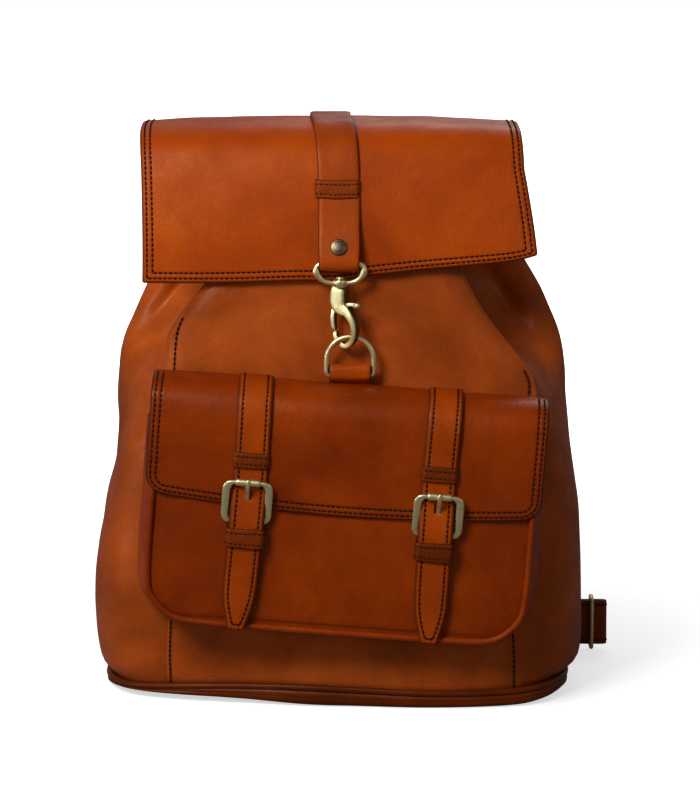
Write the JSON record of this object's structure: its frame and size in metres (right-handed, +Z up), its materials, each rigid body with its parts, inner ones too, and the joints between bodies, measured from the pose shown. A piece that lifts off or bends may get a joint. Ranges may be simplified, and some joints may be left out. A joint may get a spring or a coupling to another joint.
{
  "type": "leather backpack",
  "caption": "Leather backpack with a swivel-hook flap closure, a buckled front pocket, carry handle and adjustable shoulder straps.",
  "frame": {"origin": "on the ground under the middle of the base", "axes": "+Z up, -Y towards the front with the pocket, +X to the right seen from the front"},
  "size_m": [0.3473, 0.2266, 0.3783],
  "materials": {
    "leather": "waxed tan hide",
    "keeper_leather": "darker tan hide",
    "lining_cloth": "plain woven cotton",
    "board": "stiffening board",
    "antique_brass": "antique brass, satin",
    "dark_bronze": "dark bronze",
    "steel": "plain steel"
  },
  "bodies": {
    "bag": {"front_panel": "leather", "left_gusset": "leather", "right_gusset": "leather", "back_panel": "leather", "base_panel": "leather", "base_piping": "leather", "base_board": "board", "lining": "lining_cloth", "back_yoke": "leather", "carry_handle": "leather", "left_shoulder_strap": "leather", "right_shoulder_strap": "leather", "left_lower_strap": "leather", "right_lower_strap": "leather", "left_strap_anchor": "leather", "right_strap_anchor": "leather", "d_ring_tab": "leather", "pocket_front": "leather", "pocket_gusset": "leather", "pocket_piping": "leather", "pocket_flap_margin": "leather", "left_chape": "leather", "right_chape": "leather", "left_lower_keeper": "keeper_leather", "right_lower_keeper": "keeper_leather"},
    "main_flap": {"main_flap": "leather", "main_flap_lining": "lining_cloth", "closure_strap": "leather", "closure_keeper": "keeper_leather", "closure_rivet": "dark_bronze"},
    "hook_eye": {"hook_eye": "antique_brass"},
    "hook": {"hook_body": "antique_brass", "gate_pin": "steel", "gate_spring": "steel"},
    "hook_gate": {"hook_gate": "antique_brass"},
    "d_ring": {"d_ring": "antique_brass"},
    "pocket_flap": {"pocket_flap": "leather", "pocket_flap_lining": "lining_cloth", "left_pocket_strap": "leather", "right_pocket_strap": "leather", "left_upper_keeper": "keeper_leather", "right_upper_keeper": "keeper_leather"},
    "left_buckle": {"left_buckle_frame": "antique_brass"},
    "left_roller": {"left_buckle_roller": "antique_brass"},
    "left_prong": {"left_buckle_prong": "antique_brass"},
    "left_adjuster": {"left_strap_adjuster": "antique_brass"},
    "right_buckle": {"right_buckle_frame": "antique_brass"},
    "right_roller": {"right_buckle_roller": "antique_brass"},
    "right_prong": {"right_buckle_prong": "antique_brass"},
    "right_adjuster": {"right_strap_adjuster": "antique_brass"}
  },
  "joints": [
    {"name": "main_flap_hinge", "type": "hinge", "parent": "bag", "child": "main_flap", "pos_m": [0, 0.046, 0.361], "axis": [-1, 0, 0], "range_deg": [0, 120]},
    {"name": "hook_eye_swing", "type": "hinge", "parent": "main_flap", "child": "hook_eye", "pos_m": [0.0016, -0.0722, 0.292], "axis": [-1, 0, 0], "range_deg": [0, 90]},
    {"name": "hook_swivel", "type": "hinge", "parent": "hook_eye", "child": "hook", "pos_m": [0.0016, -0.0722, 0.28], "axis": [0, 0, -1], "range_deg": [0, 75]},
    {"name": "hook_gate_pivot", "type": "hinge", "parent": "hook", "child": "hook_gate", "pos_m": [0.00127, -0.07198, 0.2656], "axis": [-0.5446, -0.8387, 0], "range_deg": [0, 24], "stiffness_Nm_per_rad": 0.02, "springref_deg": -17.19, "deforming": ["gate_spring"]},
    {"name": "d_ring_swing", "type": "hinge", "parent": "bag", "child": "d_ring", "pos_m": [0.008, -0.07438, 0.2208], "axis": [-1, 0, 0], "range_deg": [-87.4, 17.48]},
    {"name": "pocket_flap_hinge", "type": "hinge", "parent": "bag", "child": "pocket_flap", "pos_m": [0.00872, -0.084, 0.21428], "axis": [-0.9971, 0, 0.0767], "range_deg": [0, 90]},
    {"name": "left_buckle_tilt", "type": "hinge", "parent": "bag", "child": "left_buckle", "pos_m": [-0.0582, -0.109, 0.13317], "axis": [0.9971, 0, -0.0767], "range_deg": [0, 65]},
    {"name": "left_roller_spin", "type": "hinge", "parent": "left_buckle", "child": "left_roller", "pos_m": [-0.05619, -0.1143, 0.1594], "axis": [0.9971, 0, -0.0767], "continuous": true},
    {"name": "left_prong_pivot", "type": "hinge", "parent": "left_buckle", "child": "left_prong", "pos_m": [-0.0582, -0.109, 0.13317], "axis": [-0.9971, 0, 0.0767], "range_deg": [-60, 0]},
    {"name": "left_adjuster_slide", "type": "slide", "parent": "bag", "child": "left_adjuster", "axis": [1, 0, 0], "range_m": [0, 0.018]},
    {"name": "right_buckle_tilt", "type": "hinge", "parent": "bag", "child": "right_buckle", "pos_m": [0.06244, -0.109, 0.12389], "axis": [0.9971, 0, -0.0767], "range_deg": [0, 65]},
    {"name": "right_roller_spin", "type": "hinge", "parent": "right_buckle", "child": "right_roller", "pos_m": [0.06446, -0.1143, 0.15011], "axis": [0.9971, 0, -0.0767], "continuous": true},
    {"name": "right_prong_pivot", "type": "hinge", "parent": "right_buckle", "child": "right_prong", "pos_m": [0.06244, -0.109, 0.12389], "axis": [-0.9971, 0, 0.0767], "range_deg": [-60, 0]},
    {"name": "right_adjuster_slide", "type": "slide", "parent": "bag", "child": "right_adjuster", "axis": [-1, 0, 0], "range_m": [0, 0.018]}
  ]
}
